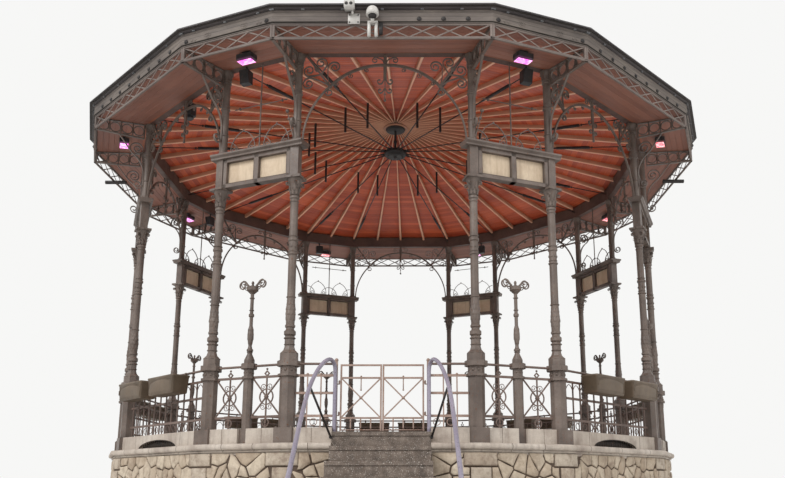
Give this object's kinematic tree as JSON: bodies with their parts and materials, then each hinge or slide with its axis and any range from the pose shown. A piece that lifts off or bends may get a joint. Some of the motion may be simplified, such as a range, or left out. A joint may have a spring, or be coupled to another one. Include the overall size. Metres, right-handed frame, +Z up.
{
  "type": "bandstand",
  "caption": "Raised polygonal bandstand: stone plinth with steps, paired cast-iron columns, railings, a double gate and a broad low roof with a lattice valance.",
  "frame": {"origin": "on the ground under the centre of the stage", "axes": "+Z up, the steps and the gate face -Y, +X to the right of someone walking up the steps"},
  "size_m": [11.8412, 14.2456, 9.4817],
  "materials": {
    "beam_wood": "dark stained beam",
    "board_paint": "taupe painted moulding",
    "board_panel": "plain beige panel in a taupe frame",
    "ceiling_wood": "varnished reddish boards",
    "concrete": "worn concrete",
    "cornice_wood": "dark painted timber, weathered",
    "dark_iron": "dark painted iron",
    "dressed_stone": "smooth dressed limestone, weathered",
    "fixture_white": "white moulded case",
    "frieze_wood": "weathered grey timber",
    "gate_paint": "pinkish beige paint, worn",
    "handrail_paint": "lilac-grey paint, satin",
    "iron_paint": "taupe painted cast iron",
    "lamp_glow": "magenta floodlight lens in a black case",
    "planter_plastic": "olive brown moulded plastic",
    "rafter_wood": "lighter varnished timber",
    "railing_paint": "taupe paint, worn",
    "roof_zinc": "weathered sheet metal",
    "rubble_stone": "cream rubble with dark open joints",
    "soffit_wood": "varnished boards",
    "speaker_black": "black moulded case",
    "step_stone": "grey-brown granite, granular",
    "valance_wood": "grey painted lattice, weathered"
  },
  "bodies": {
    "bandstand": {"bay_arches": "iron_paint", "board_cornices": "board_paint", "board_cresting": "iron_paint", "ceiling_boards": "ceiling_wood", "cellar_floor": "concrete", "column_pair_1": "iron_paint", "column_pair_2": "iron_paint", "column_pair_3": "iron_paint", "column_pair_4": "iron_paint", "column_pair_5": "iron_paint", "column_pair_6": "iron_paint", "column_pair_7": "iron_paint", "column_pair_8": "iron_paint", "column_pedestals": "iron_paint", "column_piers": "iron_paint", "cresting_rods": "iron_paint", "eave_brackets": "iron_paint", "eave_cantilevers": "iron_paint", "eave_cornice": "cornice_wood", "eave_lamps": "dark_iron", "floodlights": "lamp_glow", "frieze": "frieze_wood", "gate_pins": "gate_paint", "gate_posts": "gate_paint", "handrail_braces": "dark_iron", "handrail_left": "handrail_paint", "handrail_right": "handrail_paint", "king_rod": "dark_iron", "lower_hub": "dark_iron", "lyre_posts": "iron_paint", "name_boards": "board_panel", "planters": "planter_plastic", "plinth_coping": "dressed_stone", "plinth_wall": "rubble_stone", "rafters": "rafter_wood", "railing_front": "gate_paint", "railing_narrow": "railing_paint", "railing_wide": "railing_paint", "ring_beam": "beam_wood", "roof_cap": "roof_zinc", "roof_hub": "dark_iron", "roof_panels": "roof_zinc", "soffit": "soffit_wood", "speakers": "speaker_black", "stage_floor": "concrete", "stair_blocks": "step_stone", "stair_landing": "step_stone", "stair_treads": "step_stone", "tie_rods": "dark_iron", "tie_struts": "dark_iron", "top_rails": "railing_paint", "upper_columns": "iron_paint", "upstand_blocks": "dressed_stone", "valance": "valance_wood", "vent_covers": "dark_iron", "watch_cameras": "fixture_white"},
    "left_leaf": {"gate_left": "gate_paint"},
    "right_leaf": {"gate_right": "gate_paint"}
  },
  "joints": [
    {"name": "left_leaf_hinge", "type": "hinge", "parent": "bandstand", "child": "left_leaf", "pos_m": [-0.596, -4.87793, 2.7], "axis": [0, 0, 1], "range_deg": [0, 90]},
    {"name": "right_leaf_hinge", "type": "hinge", "parent": "bandstand", "child": "right_leaf", "pos_m": [0.596, -4.87793, 2.7], "axis": [0, 0, -1], "range_deg": [0, 90]}
  ]
}
